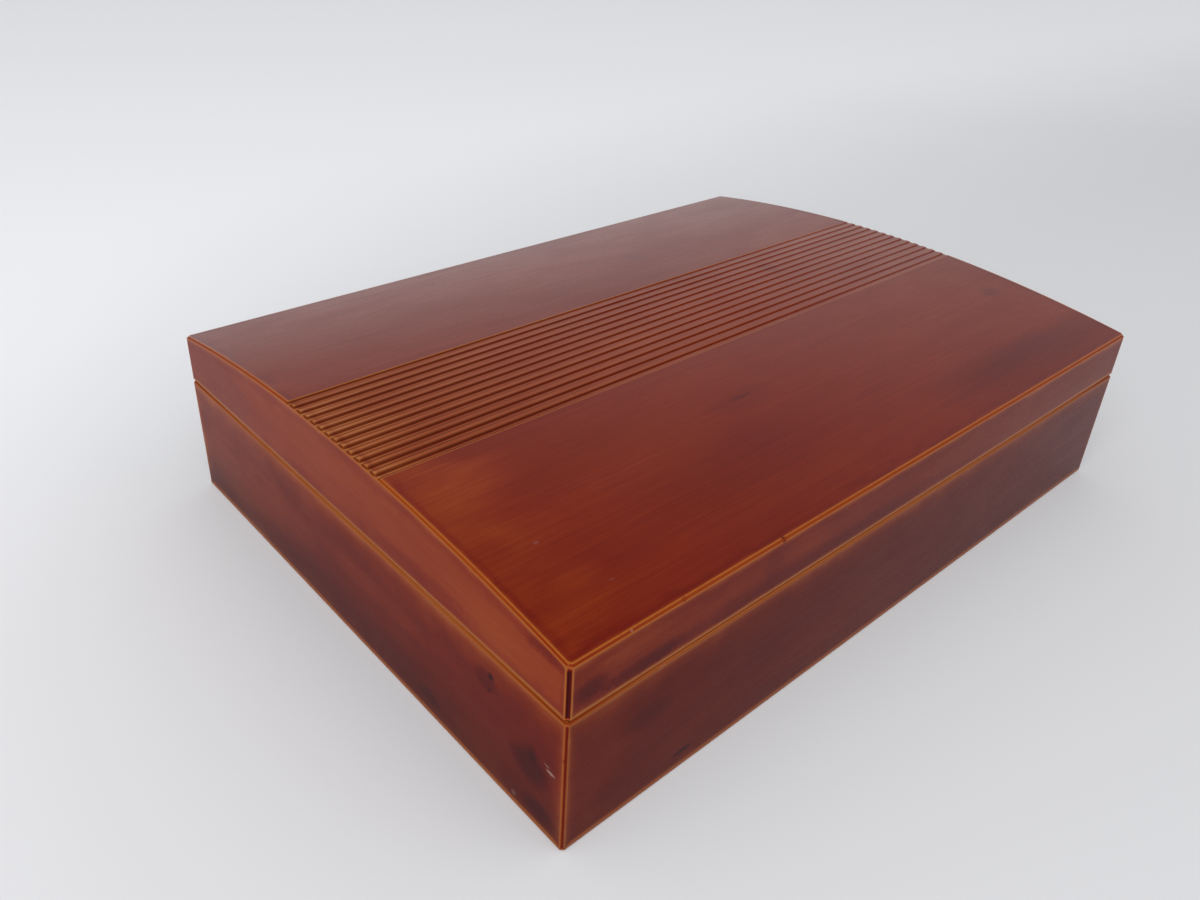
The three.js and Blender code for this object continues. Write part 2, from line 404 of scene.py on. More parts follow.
def lacquer(name, look, marks=(), scuffs=()):
    material, tree, shader = newMaterial(name)
    edge = attribute(tree, "arris")
    grain = attribute(tree, "grain", "Vector")
    place = addNode(tree, "ShaderNodeTexCoord").outputs["Object"]
    placeX, _, placeZ = addNode(tree, "ShaderNodeSeparateXYZ", place).outputs
    noises = {key: noise(tree, grain, **settings) for key, settings in grainNoises.items()}
    blotches, streaks, wear = noises["blotches"], noises["streaks"], noises["wear"]

    varied = [swing(tree, noises[key], look[key]) for key in ("clouds", "blotches", "streaks", "pores")]
    coat = total(tree, *varied, look["film"])
    fade = calc(tree, "MULTIPLY", attribute(tree, "fade"), ramp(tree, noises["wander"], *ramps["fadeWander"]))
    poolStart, poolFull = [look["poolFrom"] * share for share in poolEdge]
    rise, fall = ramp(tree, fade, poolStart, poolFull), ramp(tree, fade, poolFull, look["poolTo"], 1, 0)
    pooled = calc(tree, "MULTIPLY", rise, fall)
    pooled = calc(tree, "MULTIPLY", pooled, ramp(tree, blotches, *ramps["poolWander"]))
    coat = calc(tree, "MULTIPLY_ADD", pooled, look["pool"], coat)
    glow = calc(tree, "EXPONENT", calc(tree, "MULTIPLY", fade, -1 / look["haloReach"]))
    coat = calc(tree, "MULTIPLY_ADD", glow, -look["halo"], coat)

    whole = 1.0  # 0 where a chip breaks the golden line
    for middle, reach, amount, ragged in marks:
        fringe = swing(tree, wear if min(reach) < smallMark else blotches, ragged)
        shape = spread(tree, place, fringe, middle, reach)
        coat = calc(tree, "MULTIPLY_ADD", shape, amount, coat)
        if max(reach) < smallMark:
            unbroken = calc(tree, "MULTIPLY_ADD", shape, -min(amount, 1), 1.0)
            whole = calc(tree, "MULTIPLY", whole, unbroken)

    land = attribute(tree, "land")
    rightEnd = halfLength * millimetre

    def alongBand(start, end):
        return ramp(tree, placeX, -rightEnd, rightEnd * bandRight, start, end)

    coat = calc(tree, "MULTIPLY_ADD", land, alongBand(look["land"], look["landFar"]), coat)
    deeper = calc(tree, "SUBTRACT", attribute(tree, "pit"), alongBand(*pitFrom))
    pit = ramp(tree, deeper, *ramps["pit"])
    coat = calc(tree, "MULTIPLY_ADD", pit, alongBand(look["pitFilm"], 0), coat)

    chamfer = ramp(tree, edge, *ramps["chamfer"])
    coat = blendNumber(tree, chamfer, coat, attribute(tree, "core"))
    onFlat, onChamfer = ramp(tree, edge, *ramps["lineOnFlat"]), ramp(tree, edge, *ramps["lineOnChamfer"])
    line = calc(tree, "MULTIPLY", onFlat, onChamfer)
    line = calc(tree, "MULTIPLY", line, ramp(tree, wear, *ramps["lineWear"]))
    line = calc(tree, "MULTIPLY", line, calc(tree, "MULTIPLY", attribute(tree, "gild"), whole))

    # Painted shade over the wood: each face's light level, darker towards the bottom, its own level on the
    # chamfers, and deeper in the grooves' corners
    paintedShade = ramp(tree, placeZ, 0, look["footHeight"] * millimetre, look["footTone"], look["paintedShade"])
    paintedShade = blendNumber(tree, chamfer, paintedShade, look["paintedChamferShade"])
    paintedShade = calc(tree, "MULTIPLY", paintedShade, blendNumber(tree, pit, 1.0, alongBand(look["paintedPitShade"], 1)))

    mixed = tree.nodes.new("ShaderNodeCombineColor")
    for channel, (pale, absorb) in enumerate(zip(film["wood"], film["absorb"])):
        left = calc(tree, "EXPONENT", calc(tree, "MULTIPLY", coat, -absorb))
        shown = calc(tree, "MULTIPLY", left, calc(tree, "MULTIPLY", paintedShade, pale))
        tree.links.new(shown, mixed.inputs[channel])
    colour = blendColour(tree, line, mixed.outputs[0], fromHex(look["gold"]))
    # Painted sheen: the reeded band is blended towards a pale grey to its right, a painted reflection
    paintedSheen = ramp(tree, placeX, rightEnd * paintedSheenFrom, rightEnd, 0, look["paintedSheen"])
    colour = blendColour(tree, calc(tree, "MULTIPLY", land, paintedSheen), colour, fromHex(scuffAndSheenColour))
    for middle, reach, amount in scuffs:
        shape = spread(tree, place, swing(tree, wear, scuffRagged), middle, reach)
        colour = blendColour(tree, calc(tree, "MULTIPLY", shape, amount), colour, fromHex(scuffAndSheenColour))
    tree.links.new(colour, shader.inputs["Base Color"])
    landRough = calc(tree, "MULTIPLY", land, ramp(tree, placeX, -rightEnd, 0, look["landRoughness"], 0))
    varied = (ramp(tree, blotches, *ramps["roughBlotches"]), ramp(tree, streaks, *ramps["roughStreaks"]))
    tree.links.new(total(tree, *varied, landRough, look["roughness"]), shader.inputs["Roughness"])
    shader.inputs["IOR"].default_value = look["ior"]

    height = total(tree, *(swing(tree, noises[key], relief[key]) for key in ("streaks", "pores", "wander")))
    addBump(tree, shader, height, relief["strength"], relief["height"])
    return material


bareLook = {
    "pale": "#d2ac78", "late": "#b4874f",
    "rings": {"stretch": (900, 900, 25), "detail": 3, "seed": 5},
    "fibres": {"stretch": (4000, 4000, 90), "detail": 2, "seed": 9},
    "ringRamp": (0.4, 0.62),
    "shading": (0.3, 0.7, 0.9, 1.08),
    "roughness": (0.3, 0.7, 0.62, 0.78),
    "bump": (0.5, 0.0001),
}


def bareWood():
    material, tree, shader = newMaterial("bareWood")
    place = addNode(tree, "ShaderNodeTexCoord").outputs["Object"]
    rings = noise(tree, place, **bareLook["rings"])
    fibres = noise(tree, place, **bareLook["fibres"])
    late = ramp(tree, rings, *bareLook["ringRamp"])
    colour = blendColour(tree, late, fromHex(bareLook["pale"]), fromHex(bareLook["late"]))
    colour = blendColour(tree, 1.0, colour, ramp(tree, fibres, *bareLook["shading"]), "MULTIPLY")
    tree.links.new(colour, shader.inputs["Base Color"])
    tree.links.new(ramp(tree, fibres, *bareLook["roughness"]), shader.inputs["Roughness"])
    addBump(tree, shader, fibres, *bareLook["bump"])
    return material


# Mesh helpers, in millimetres

cutTolerance = 1e-4


def loft(stations, sectionAt):
    bm = bmesh.new()
    bm.faces.layers.int.new("joint")
    rows = [[bm.verts.new((x, y, z)) for y, z in sectionAt(x)] for x in stations]
    for near, far in zip(rows, rows[1:]):
        for i in range(len(near)):
            j = (i + 1) % len(near)
            bm.faces.new((near[i], near[j], far[j], far[i]))
    bm.faces.new(rows[0])
    bm.faces.new(rows[-1])
    bmesh.ops.recalc_face_normals(bm, faces=bm.faces)
    return bm


def clip(bm, point, normal, joint=False):
    parts = bm.verts[:] + bm.edges[:] + bm.faces[:]
    plane = {"plane_co": point, "plane_no": normal}
    cut = bmesh.ops.bisect_plane(bm, geom=parts, dist=cutTolerance, clear_outer=True, **plane)
    edges = [e for e in cut["geom_cut"] if isinstance(e, bmesh.types.BMEdge) and e.is_boundary]
    if not edges:
        return
    made = bmesh.ops.edgeloop_fill(bm, edges=edges)
    if joint:
        layer = bm.faces.layers.int["joint"]
        for face in made["faces"]:
            face[layer] = 1


def sliceAt(bm, axis, values):
    normal = Vector((0, 0, 0))
    normal[axis] = 1
    for value in values:
        parts = bm.verts[:] + bm.edges[:] + bm.faces[:]
        plane = {"plane_co": normal * value, "plane_no": normal}
        bmesh.ops.bisect_plane(bm, geom=parts, dist=cutTolerance, **plane)


# Distances from an arris at which a face is divided, so that its colours fall in the right place
finish = (0.2, 0.4, 0.8, 1.3, 2, 3, 4.2, 6, 8.5, 12, 18)
lidLimit = 14  # the furthest of them on the lid's low sides

# Depths at which a board is divided, from its outer and from its inner face
nearFace = (1.2, 2)
nearInside = 1.0


def steps(low, high, limit=math.inf):
    near = [low + d for d in finish if low + d < high and d < limit]
    far = [high - d for d in finish if high - d > low and d < limit]
    return near + far


def throughBoard(reach, seam, thick):
    return [depth - reach for depth in (seam / 2, *nearFace, thick / 2, thick - nearInside)]


def evenly(reach, share, count):
    return list(np.linspace(-reach * share, reach * share, count))


# How each arris is finished: the film on the chamfer beside it near the box's corners and far from
# them, how golden it is worn and how widely, and how far the film on the flat beside it thins out
arrisLooks = {
    "lidTop": {"core": 0.86, "coreFar": 0.68, "gild": 1.0, "wide": 1.0, "soft": 1.0},
    # The lid's corner chamfers get a thick film that paints the shade seen there
    "lidCorner": {"core": 2.2, "coreFar": 2.2, "gild": 1.0, "wide": 1.0, "soft": 0.3},
    "lidSeam": {"core": 0.85, "coreFar": 0.42, "gild": 1.0, "wide": 3.0, "soft": 0.8},
    "caseSeam": {"core": 0.80, "coreFar": 0.38, "gild": 0.9, "wide": 1.5, "soft": 1.0},
    "seamInside": {"core": 0.85, "coreFar": 0.42, "gild": 0.0, "wide": 1.0, "soft": 0.0},
    "caseCornerEnd": {"core": 1.10, "coreFar": 1.10, "gild": 0.85, "wide": 1.0, "soft": 0.4},
    "caseCornerSide": {"core": 1.40, "coreFar": 1.40, "gild": 0.25, "wide": 1.0, "soft": 0.4},
    "foot": {"core": 0.40, "coreFar": 0.40, "gild": 1.0, "wide": 4.8, "soft": 0.5},
    "underside": {"core": 0.60, "coreFar": 0.60, "gild": 0.4, "wide": 1.0, "soft": 0.0},
    "inside": {"core": 0.75, "coreFar": 0.75, "gild": 0.5, "wide": 1.0, "soft": 0.3},
    "grooveNear": {"core": 1.0, "coreFar": 1.0, "gild": 0.50, "wide": 1.0, "soft": 0.0},
    "grooveFar": {"core": 1.0, "coreFar": 1.0, "gild": 0.25, "wide": 1.0, "soft": 0.0},
    "bandEdge": {"core": 1.0, "coreFar": 1.0, "gild": 0.90, "wide": 1.0, "soft": 0.0},
}


def planRing(inset, corner, height, look):
    x, y = halfLength - inset, halfWidth - inset
    leg = max(corner - (2 - root2) * inset, 0)
    ends = np.linspace(-(y - leg), y - leg, crownSteps + 1)
    lines = []
    for side in (-1, 1):
        lines.append(((leg - x, side * y), (x - leg, side * y)))
        lines += [((side * x, a), (side * x, b)) for a, b in zip(ends, ends[1:])]
        if leg > 0:
            lines += [((side * (x - leg), s * y), (side * x, s * (y - leg))) for s in (-1, 1)]
    return [((*a, height(a[1])), (*b, height(b[1])), look) for a, b in lines]


def cornerLines(corner, low, high, sideLook, endLook):
    lines = []
    for sx in (-1, 1):
        for sy in (-1, 1):
            x, y = sx * (halfLength - corner), sy * halfWidth
            lines.append(((x, y, low), (x, y, high), sideLook))
            x, y = sx * halfLength, sy * (halfWidth - corner)
            lines.append(((x, y, low), (x, y, high), endLook))
    return lines


reeds = {
    "count": 13,
    "pitch": 5.0,
    "topWidth": 3.0,
    "floorWidth": 2.6,
    "depth": 0.5,
    "gildLost": 0.65,  # how much less golden the band's arrises are at its right end
}
bandHalf = (reeds["count"] - 1) / 2 * reeds["pitch"] + reeds["topWidth"] / 2


def grooveLines():
    lines = []
    start = -(reeds["count"] - 1) / 2 * reeds["pitch"]
    for i in range(reeds["count"]):
        for side, look in ((-1, "grooveNear"), (1, "grooveFar")):
            y = start + i * reeds["pitch"] + side * reeds["topWidth"] / 2
            look = "bandEdge" if abs(y) > bandHalf - reeds["topWidth"] / 2 else look
            lines.append(((-halfLength, y, crownHeight(y)), (halfLength, y, crownHeight(y)), look))
    return lines


# Land is 1 all over the reeded band. Pit is 1 in the corners of a groove's floor, where shade is painted
# and the lacquer lies a little thicker, half that at the top of its walls, and 0 elsewhere. The slack is for
# points on an edge.
def reedValues(points):
    _, y, z = points.T
    slack, deep = 0.05, 0.6
    sunk = (crownCentre + np.sqrt(crownRadius ** 2 - y ** 2) - z) / reeds["depth"]
    inBand = (np.abs(y) < bandHalf + slack) & (sunk < 1 + 4 * slack)
    off = np.abs(y - np.round(y / reeds["pitch"]) * reeds["pitch"])
    onFloor = off / (reeds["floorWidth"] / 2)
    onTop = np.where(off < reeds["topWidth"] / 2 + slack, 0.5, 0.0)
    return inBand * 1.0, inBand * np.where(sunk > deep, onFloor, onTop)


def level(z):
    return lambda y: z


def lidLines():
    corner, top, seam = arrisSize["lidCorner"], arrisSize["lidTop"], arrisSize["seam"]
    return (
        planRing(0, corner, level(lidBottom + seam), "lidSeam")
        + planRing(seam, corner, level(lidBottom), "seamInside")
        + planRing(wall, 0, level(lidBottom), "inside")
        + planRing(0, corner, lambda y: crownHeight(y) - top, "lidTop")
        + planRing(top, corner, crownHeight, "lidTop")
        + cornerLines(corner, lidBottom + seam, crownHeight(halfWidth) - top, "lidCorner", "lidCorner")
        + grooveLines()
    )


def caseLines():
    corner, seam = arrisSize["caseCorner"], arrisSize["seam"]
    return (
        planRing(0, corner, level(seam), "foot")
        + planRing(seam, corner, level(0), "underside")
        + planRing(0, corner, level(caseTop - seam), "caseSeam")
        + planRing(seam, corner, level(caseTop), "seamInside")
        + planRing(wall, 0, level(caseTop), "inside")
        + cornerLines(corner, seam, caseTop - seam, "caseCornerSide", "caseCornerEnd")
    )


def lipLines():
    outer, inner, top = lipInset, lipInset + lipThickness, lipFrontHigh.z
    lead = arrisSize["lipLeadIn"]
    return (
        planRing(outer, 0, level(top - lead), "inside")
        + planRing(outer + lead, 0, level(top), "inside")
        + planRing(inner, 0, level(top), "inside")
    )


farAway = 1e6


def nearestArris(points, lines):
    best = np.full(len(points), farAway)
    fade = np.full(len(points), farAway)
    looks = {key: np.zeros(len(points)) for key in arrisLooks["inside"]}
    for start, end, name in lines:
        a, b = np.array(start), np.array(end)
        run = b - a
        t = np.clip((points - a) @ run / (run @ run), 0, 1)
        distance = np.linalg.norm(points - a - t[:, None] * run, axis=1)
        closer = distance < best
        best[closer] = distance[closer]
        for key, values in looks.items():
            values[closer] = arrisLooks[name][key]
        if arrisLooks[name]["soft"]:
            fade = np.minimum(fade, distance / arrisLooks[name]["soft"])
    return best, fade, looks


# A finished piece: turned into place, with its arris distances and grain stored at its points

chamferReach = 1.1  # no point of a chamfer is further than this from an arris
slantLimit = 0.9    # a face is a chamfer's where no part of its normal is as long as this
cornerReach = 26.0  # the chamfers' film is thicker within about this of the box's corners
pieceShift = np.array([0, 53.0, 31.0])  # moves the grain on from one board to the next
sharpAngle = 20
pieceCount = 0


def finishPiece(name, bm, lines, body, material, turn=0.0, reeded=False):
    global pieceCount
    pieceCount += 1
    layer = bm.faces.layers.int["joint"]
    bm.normal_update()
    onChamfer = [
        any(not f[layer] and max(map(abs, f.normal)) < slantLimit for f in vert.link_faces)
        for vert in bm.verts
    ]
    grain = np.array([v.co for v in bm.verts]) + pieceShift * pieceCount
    bmesh.ops.rotate(bm, verts=bm.verts[:], matrix=Matrix.Rotation(math.radians(turn), 3, "Z"))
    points = np.array([v.co for v in bm.verts])
    away, fade, looks = nearestArris(points, lines)
    fromCorner = np.maximum(halfLength - np.abs(points[:, 0]), halfWidth - np.abs(points[:, 1]))
    nearCorner = np.exp(-(fromCorner / cornerReach) ** 2)
    rightward = 0.5 + points[:, 0] / (2 * halfLength)
    land, pit = reedValues(points) if reeded else np.zeros((2, len(points)))
    values = {
        "arris": np.where(np.array(onChamfer) & (away < chamferReach), -away, away / looks["wide"]),
        "fade": fade,
        "core": looks["coreFar"] + (looks["core"] - looks["coreFar"]) * nearCorner,
        "gild": looks["gild"] * (1 - land * reeds["gildLost"] * rightward),
        "land": land,
        "pit": pit,
    }
    openEdges = sum(1 for e in bm.edges if len(e.link_faces) != 2)
    mesh = meshFrom(bm, name)
    for label, numbers in values.items():
        stored = mesh.attributes.new(label, "FLOAT", "POINT")
        stored.data.foreach_set("value", numbers.astype(np.float32))
    stored = mesh.attributes.new("grain", "FLOAT_VECTOR", "POINT")
    stored.data.foreach_set("vector", grain.astype(np.float32).ravel())
    mesh.attributes.remove(mesh.attributes["joint"])
    mesh.transform(Matrix.Scale(millimetre, 4))
    mesh.shade_smooth()
    mesh.set_sharp_from_angle(angle=math.radians(sharpAngle))
    mesh.materials.clear()
    mesh.materials.append(material)
    piece = addObject(name, mesh)
    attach(piece, body)
    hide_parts(name.replace("board_", ""))
    print(name, len(mesh.polygons), "faces,", openEdges, "open edges")


# Loose tongues stay as the frame has them, each in a slot cut across the mitre

slotSize = {"width": 6.1, "thickness": 1.9, "endRoom": 0.1}


def cutSlots(bm, tongues, turn):
    back = Matrix.Rotation(-math.radians(turn), 3, "Z")
    blank = addObject("blank", meshFrom(bm, "blank"))
    tools = []
    for tongue in tongues:
        low, high = nodeBox(tongue)
        middle = (low + high) / 2
        tall = high.z - low.z + 2 * slotSize["endRoom"]
        tool = bmesh.new()
        bmesh.ops.create_cube(tool, size=1)
        bmesh.ops.scale(tool, verts=tool.verts[:], vec=(slotSize["width"], slotSize["thickness"], tall))
        angle = -math.copysign(math.pi / 4, middle.x * middle.y)
        bmesh.ops.rotate(tool, verts=tool.verts[:], matrix=Matrix.Rotation(angle, 3, "Z"))
        bmesh.ops.translate(tool, verts=tool.verts[:], vec=middle)
        bmesh.ops.rotate(tool, verts=tool.verts[:], matrix=back)
        tools.append(addObject("slot", meshFrom(tool, "slot")))
        cut = blank.modifiers.new("slot", "BOOLEAN")
        cut.operation = "DIFFERENCE"
        cut.solver = "EXACT"
        cut.object = tools[-1]
    bm = evaluated(blank)
    for thing in [blank, *tools]:
        bpy.data.objects.remove(thing)
    return bm


# One mitred board of a frame. It lies along X with its outer face at y = -reach, and finishPiece turns it.

boardCuts = {"share": 0.8, "count": 7}


def makeBoard(halfRun, reach, section, corner, levels, turn, tongues, stations=None):
    low, high, easing = levels
    bm = loft(stations or [-halfRun - overrun, halfRun + overrun], section)
    for side in (-1, 1):
        clip(bm, (side * halfRun, -reach, 0), (side, 1, 0), joint=True)
        tip = Vector((side * (halfRun - corner), -reach, 0))
        clip(bm, tip, (side, -1, 0))
        if low is not None:
            clip(bm, tip + Vector((0, 0, low + easing)), (side, -1, -root2))
        if high is not None:
            clip(bm, tip + Vector((0, 0, high - easing)), (side, -1, root2))
    if tongues:
        bm = cutSlots(bm, tongues, turn)
    inner = halfRun - corner
    sliceAt(bm, 0, steps(-inner, inner) + evenly(inner, **boardCuts))
    return bm


def cornerTongues(prefix, place):
    corners = ("front_left", "front_right", "back_left", "back_right")
    return [f"{prefix}_spline_{corner}" for corner in corners if place in corner]


places = {"front": 0, "left": -90, "back": 180, "right": 90}
nodeWords = {"front": "side", "back": "side", "left": "end", "right": "end"}


def facing(place):
    long = place in ("front", "back")
    return long, *((halfLength, halfWidth) if long else (halfWidth, halfLength))


hair = 0.02          # stands between pieces that touch
bottomGrowth = 0.03  # the bottom board's growth and its rebate's, into the glue gap between them
rebateGrowth = bottomGrowth + hair


def makeCaseBoards(sideMaterial, endMaterial):
    seam, ease = arrisSize["seam"], arrisSize["inner"]
    thick = lipInset - hair
    rebate = halfLength - bottomHigh.x - rebateGrowth
    rise = bottomHigh.z
    for place, turn in places.items():
        long, halfRun, reach = facing(place)
        outline = [
            (seam, 0), (0, seam), (0, caseTop - seam), (seam, caseTop),
            (thick - ease, caseTop), (thick, caseTop - ease), (thick, rise), (rebate, rise), (rebate, 0),
        ]
        section = [(w - reach, z) for w, z in outline]
        bm = makeBoard(
            halfRun, reach, lambda x: section, arrisSize["caseCorner"],
            (0, caseTop, seam), turn, cornerTongues("case", place),
        )
        sliceAt(bm, 2, steps(seam, caseTop - seam) + [seam / 2, caseTop - seam / 2, caseTop / 2])
        sliceAt(bm, 1, throughBoard(reach, seam, thick))
        node = f"case_{place}_{nodeWords[place]}"
        material = sideMaterial if long else endMaterial
        finishPiece("board_" + node, bm, caseLines(), "case", material, turn)


def makeLidSides(sideMaterial, endMaterial):
    seam, ease, top = arrisSize["seam"], arrisSize["inner"], arrisSize["lidTop"]
    for place, turn in places.items():
        long, halfRun, reach = facing(place)

        def section(x):
            outerTop = crownHeight(halfWidth if long else x) - top
            innerTop = crownHeight(innerWidth if long else x) - wall
            outline = [
                (seam, lidBottom), (0, lidBottom + seam), (0, outerTop), (wall, innerTop),
                (wall, lidBottom + ease), (wall - ease, lidBottom),
            ]
            return [(w - reach, z) for w, z in outline]

        edge = halfRun + overrun
        stations = [-edge, edge] if long else list(np.linspace(-edge, edge, crownSteps + 1))
        bm = makeBoard(
            halfRun, reach, section, arrisSize["lidCorner"],
            (lidBottom, None, seam), turn, cornerTongues("lid", place), stations,
        )
        peak = crownHeight(halfWidth if long else 0)
        sliceAt(bm, 2, steps(lidBottom + seam, peak - top, lidLimit) + [lidBottom + seam / 2])
        sliceAt(bm, 1, throughBoard(reach, seam, wall))
        node = f"lid_{place}_{nodeWords[place]}"
        material = sideMaterial if long else endMaterial
        finishPiece("board_" + node, bm, lidLines(), "lid", material, turn)


def makeLip(material):
    lead, ease = arrisSize["lipLeadIn"], arrisSize["inner"]
    low, high = bottomHigh.z + hair, lipFrontHigh.z
    for place, turn in places.items():
        _, halfRun, reach = facing(place)
        halfRun, reach = halfRun - lipInset, reach - lipInset
        outline = [
            (0, low), (0, high - lead), (lead, high), (lipThickness - ease, high),
            (lipThickness, high - ease), (lipThickness, low),
        ]
        section = [(w - reach, z) for w, z in outline]
        bm = makeBoard(
            halfRun, reach, lambda x: section, arrisSize["lipCorner"],
            (None, high, lead), turn, None,
        )
        sliceAt(bm, 2, steps(low, high - lead) + [high - lead / 2, caseTop])
        sliceAt(bm, 1, [lead / 2 - reach, lipThickness / 2 - reach])
        finishPiece(f"board_inner_lip_{place}", bm, lipLines(), "case", material, turn)


bottomEase = 0.25
bottomCuts = (22, 16)


def makeBottom(material):
    reachX, reachY = bottomHigh.x + bottomGrowth, bottomHigh.y + bottomGrowth
    half = [(reachY - bottomEase, 0), (reachY, bottomEase), (reachY, bottomHigh.z)]
    outline = [(-y, z) for y, z in half] + half[::-1]
    bm = loft([-reachX, reachX], lambda x: outline)
    for side in (-1, 1):
        clip(bm, (side * reachX, 0, bottomEase), (side, 0, -1))
    for axis, (reach, count) in enumerate(zip((reachX, reachY), bottomCuts)):
        sliceAt(bm, axis, np.linspace(-reach, reach, count)[1:-1])
    finishPiece("board_case_bottom_board", bm, lipLines(), "case", material)


# Geometry nodes for the lid's top board: crown, chamfer, mitred underside and reeds from a few sizes

def boardTree():
    tree = bpy.data.node_groups.new("reededTopBoard", "GeometryNodeTree")
    names = (
        "Length", "Width", "Wall", "Top chamfer", "Crown radius", "Crown centre",
        "Groove pitch", "Groove top width", "Groove floor width", "Groove depth", "Run past",
    )
    for name in names:
        tree.interface.new_socket(name=name, in_out="INPUT", socket_type="NodeSocketFloat")
    for name in ("Groove count", "Crown steps"):
        tree.interface.new_socket(name=name, in_out="INPUT", socket_type="NodeSocketInt")
    tree.interface.new_socket(name="Finish", in_out="INPUT", socket_type="NodeSocketMaterial")
    tree.interface.new_socket(name="Board", in_out="OUTPUT", socket_type="NodeSocketGeometry")
    given = tree.nodes.new("NodeGroupInput").outputs
    position = tree.nodes.new("GeometryNodeInputPosition").outputs[0]
    place = addNode(tree, "ShaderNodeSeparateXYZ", position).outputs

    def crown(y):
        square = calc(tree, "POWER", given["Crown radius"], 2.0)
        inside = calc(tree, "SUBTRACT", square, calc(tree, "MULTIPLY", y, y))
        return calc(tree, "ADD", calc(tree, "SQRT", inside), given["Crown centre"])

    def inset(name, distance):
        return calc(tree, "SUBTRACT", given[name], calc(tree, "MULTIPLY", distance, 2.0))

    def moved(mesh, where, x, y, z):
        spot = addNode(tree, "ShaderNodeCombineXYZ", x, y, z).outputs[0]
        return addNode(tree, "GeometryNodeSetPosition", mesh, where, spot).outputs[0]

    def raised(mesh, faces, fromInset, toInset, drop):
        push = addNode(tree, "GeometryNodeExtrudeMesh", mesh, faces, mode="FACES")
        push.inputs["Individual"].default_value = False
        push.inputs["Offset Scale"].default_value = 0.0
        spot = []
        for axis, side in enumerate(("Length", "Width")):
            growth = calc(tree, "DIVIDE", inset(side, toInset), inset(side, fromInset))
            spot.append(calc(tree, "MULTIPLY", place[axis], growth))
        x, y = spot
        height = calc(tree, "SUBTRACT", crown(y), drop)
        return moved(push.outputs["Mesh"], push.outputs["Top"], x, y, height), push.outputs["Top"]

    rows = calc(tree, "ADD", given["Crown steps"], 1.0)
    innerSizes = (inset("Length", given["Wall"]), inset("Width", given["Wall"]))
    grid = addNode(tree, "GeometryNodeMeshGrid", *innerSizes, 2, rows)
    ceiling = calc(tree, "SUBTRACT", crown(place[1]), given["Wall"])
    under = moved(grid.outputs["Mesh"], None, place[0], place[1], ceiling)
    rim, inside = raised(under, None, given["Wall"], 0.0, given["Top chamfer"])
    top, _ = raised(rim, inside, 0.0, given["Top chamfer"], 0.0)
    turned = addNode(tree, "GeometryNodeFlipFaces", under).outputs[0]
    join = tree.nodes.new("GeometryNodeJoinGeometry")
    tree.links.new(top, join.inputs[0])
    tree.links.new(turned, join.inputs[0])
    whole = addNode(tree, "GeometryNodeMergeByDistance", join.outputs[0]).outputs[0]

    flare = calc(tree, "SUBTRACT", given["Groove top width"], given["Groove floor width"])
    flare = calc(tree, "MULTIPLY", calc(tree, "DIVIDE", flare, given["Groove depth"]), given["Run past"])
    upperWidth = calc(tree, "ADD", given["Groove top width"], flare)
    cube = tree.nodes.new("GeometryNodeMeshCube")
    cube.inputs["Size"].default_value = (1, 1, 1)
    isTop = calc(tree, "GREATER_THAN", place[2], 0.0)
    barLength = calc(tree, "ADD", given["Length"], given["Run past"])
    barFloor = calc(tree, "MULTIPLY", given["Groove depth"], -1.0)
    widths, heights = (given["Groove floor width"], upperWidth), (barFloor, given["Run past"])
    barWidth = addNode(tree, "ShaderNodeMapRange", isTop, 0.0, 1.0, *widths).outputs[0]
    barHeight = addNode(tree, "ShaderNodeMapRange", isTop, 0.0, 1.0, *heights).outputs[0]
    barX, barY = calc(tree, "MULTIPLY", place[0], barLength), calc(tree, "MULTIPLY", place[1], barWidth)
    bar = moved(cube.outputs["Mesh"], None, barX, barY, barHeight)
    line = tree.nodes.new("GeometryNodeMeshLine")
    tree.links.new(given["Groove count"], line.inputs["Count"])
    number = tree.nodes.new("GeometryNodeInputIndex").outputs[0]
    half = calc(tree, "DIVIDE", calc(tree, "SUBTRACT", given["Groove count"], 1.0), 2.0)
    grooveY = calc(tree, "MULTIPLY", calc(tree, "SUBTRACT", number, half), given["Groove pitch"])
    spots = moved(line.outputs["Mesh"], None, 0.0, grooveY, crown(grooveY))
    bars = addNode(tree, "GeometryNodeInstanceOnPoints", spots)
    tree.links.new(bar, bars.inputs["Instance"])
    solidBars = addNode(tree, "GeometryNodeRealizeInstances", bars.outputs[0]).outputs[0]

    carve = tree.nodes.new("GeometryNodeMeshBoolean")
    carve.operation = "DIFFERENCE"
    carve.solver = "EXACT"
    tree.links.new(whole, carve.inputs["Mesh 1"])
    tree.links.new(solidBars, carve.inputs["Mesh 2"])
    real = addNode(tree, "GeometryNodeRealizeInstances", carve.outputs["Mesh"]).outputs[0]
    coated = addNode(tree, "GeometryNodeSetMaterial", real, None, given["Finish"]).outputs[0]
    tree.links.new(coated, tree.nodes.new("NodeGroupOutput").inputs["Board"])
    return tree


topCuts = {"share": 0.85, "count": 15}
grooveOverrun = 1.0
undersideTilt = -0.3  # a face whose normal points lower than this belongs to the underside


